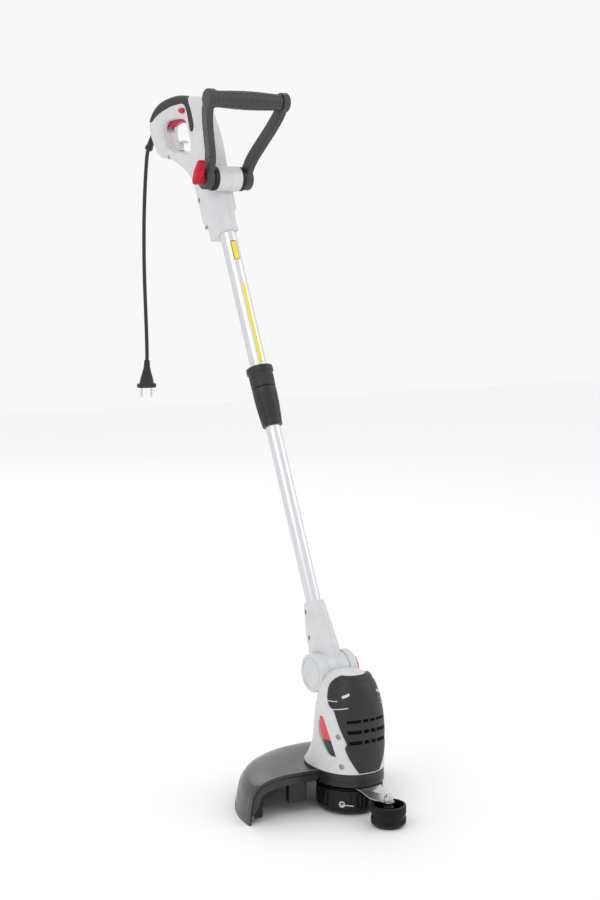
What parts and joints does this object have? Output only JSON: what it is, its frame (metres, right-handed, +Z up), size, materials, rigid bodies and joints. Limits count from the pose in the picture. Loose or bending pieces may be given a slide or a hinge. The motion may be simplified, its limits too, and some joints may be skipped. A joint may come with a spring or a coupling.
{
  "type": "string trimmer",
  "caption": "Corded string trimmer: motor head with line spool, guard and edge wheel on a leaning telescopic shaft with D-handle, loop handle, lead and plug.",
  "frame": {"origin": "on the floor under the spool's axis, at the middle of the tap knob's flat bottom", "axes": "+Z up along the spool's axis, -Y to the front where the edge wheel is, +Y towards the user, X across; the clamp knob is on the -X side"},
  "size_m": [0.3189, 0.8285, 1.1548],
  "materials": {
    "light_grey_abs": "satin",
    "black_plastic": "fine texture",
    "smoked_plastic": "semi-gloss, slightly see-through",
    "soft_rubber": "matte",
    "red_plastic": "satin",
    "aluminium": "satin anodised",
    "steel": "zinc plated",
    "copper": "machined",
    "orange_nylon": "smooth"
  },
  "bodies": {
    "motor_head": {"motor_housing_left": "light_grey_abs", "motor_housing_right": "light_grey_abs", "front_cover": "black_plastic", "base_ring": "black_plastic", "guard": "smoked_plastic", "guard_rib_block": "black_plastic", "line_cutter": "steel", "motor_stator": "steel", "motor_plate": "aluminium", "wheel_bracket": "steel", "wheel_bolt": "steel", "tilt_bolt": "steel", "housing_screw_1": "steel", "housing_screw_2": "steel"},
    "rotor": {"motor_shaft": "steel", "armature": "steel", "commutator": "copper", "motor_fan": "black_plastic", "spool_housing": "black_plastic", "spool_cap": "black_plastic", "line_reel": "black_plastic", "wound_line": "orange_nylon", "tap_spring": "steel", "line_eyelet_1": "steel", "line_eyelet_2": "steel"},
    "tap_knob": {"tap_knob": "black_plastic"},
    "guide_wheel": {"guide_wheel": "black_plastic"},
    "neck": {"neck_left": "light_grey_abs", "neck_right": "light_grey_abs", "lower_tube": "aluminium", "slider_bush": "black_plastic"},
    "tilt_button": {"tilt_button": "red_plastic"},
    "upper": {"upper_tube": "aluminium", "collar_ring": "black_plastic", "handle_shell_left": "light_grey_abs", "handle_shell_right": "light_grey_abs", "soft_grip": "soft_rubber", "switch_body": "black_plastic", "boss_disc_left": "black_plastic", "boss_disc_right": "black_plastic", "loop_bolt": "steel", "strain_relief": "black_plastic", "cord": "soft_rubber", "plug_body": "black_plastic", "plug_pin_left": "steel", "plug_pin_right": "steel", "handle_screw_1": "steel", "handle_screw_2": "steel", "handle_screw_3": "steel"},
    "lock_sleeve": {"lock_sleeve": "black_plastic"},
    "trigger": {"trigger": "red_plastic"},
    "lock_off_button": {"lock_off_button": "red_plastic"},
    "loop_handle": {"loop_arm_left": "black_plastic", "loop_arm_right": "black_plastic", "loop_grip": "soft_rubber"},
    "clamp_knob": {"clamp_knob": "red_plastic"}
  },
  "joints": [
    {"name": "spool_spin", "type": "hinge", "parent": "motor_head", "child": "rotor", "pos_m": [0, 0, 0.03], "axis": [0, 0, 1], "continuous": true},
    {"name": "tap_feed", "type": "slide", "parent": "rotor", "child": "tap_knob", "axis": [0, 0, 1], "range_m": [0, 0.004], "stiffness_N_per_m": 2500, "springref_m": -0.008, "deforming": ["tap_spring"]},
    {"name": "wheel_spin", "type": "hinge", "parent": "motor_head", "child": "guide_wheel", "pos_m": [0, -0.106, 0.02], "axis": [0, 0, 1], "continuous": true},
    {"name": "head_tilt", "type": "hinge", "parent": "motor_head", "child": "neck", "pos_m": [0, 0.0573, 0.209], "axis": [1, 0, 0], "range_deg": [-40, 0]},
    {"name": "tilt_release", "type": "slide", "parent": "motor_head", "child": "tilt_button", "axis": [-1, 0, 0], "range_m": [0, 0.004], "stiffness_N_per_m": 800, "springref_m": -0.002},
    {"name": "telescope", "type": "slide", "parent": "neck", "child": "upper", "axis": [0, 0.4115, 0.9114], "range_m": [-0.22, 0]},
    {"name": "collar_twist", "type": "hinge", "parent": "upper", "child": "lock_sleeve", "pos_m": [0, 0.24248, 0.61913], "axis": [0, 0.4115, 0.9114], "range_deg": [0, 60]},
    {"name": "trigger_pull", "type": "hinge", "parent": "upper", "child": "trigger", "pos_m": [0, 0.49272, 1.11016], "axis": [1, 0, 0], "range_deg": [0, 7], "stiffness_Nm_per_rad": 2, "springref_deg": -8.59},
    {"name": "lock_off_press", "type": "slide", "parent": "upper", "child": "lock_off_button", "axis": [1, 0, 0], "range_m": [0, 0.003], "stiffness_N_per_m": 600, "springref_m": -0.002},
    {"name": "loop_turn", "type": "hinge", "parent": "upper", "child": "loop_handle", "pos_m": [0, 0.37896, 1.00353], "axis": [1, 0, 0], "range_deg": [-35, 75]},
    {"name": "clamp_turn", "type": "hinge", "parent": "loop_handle", "child": "clamp_knob", "pos_m": [-0.055, 0.37896, 1.00353], "axis": [1, 0, 0], "range_deg": [0, 180]}
  ]
}
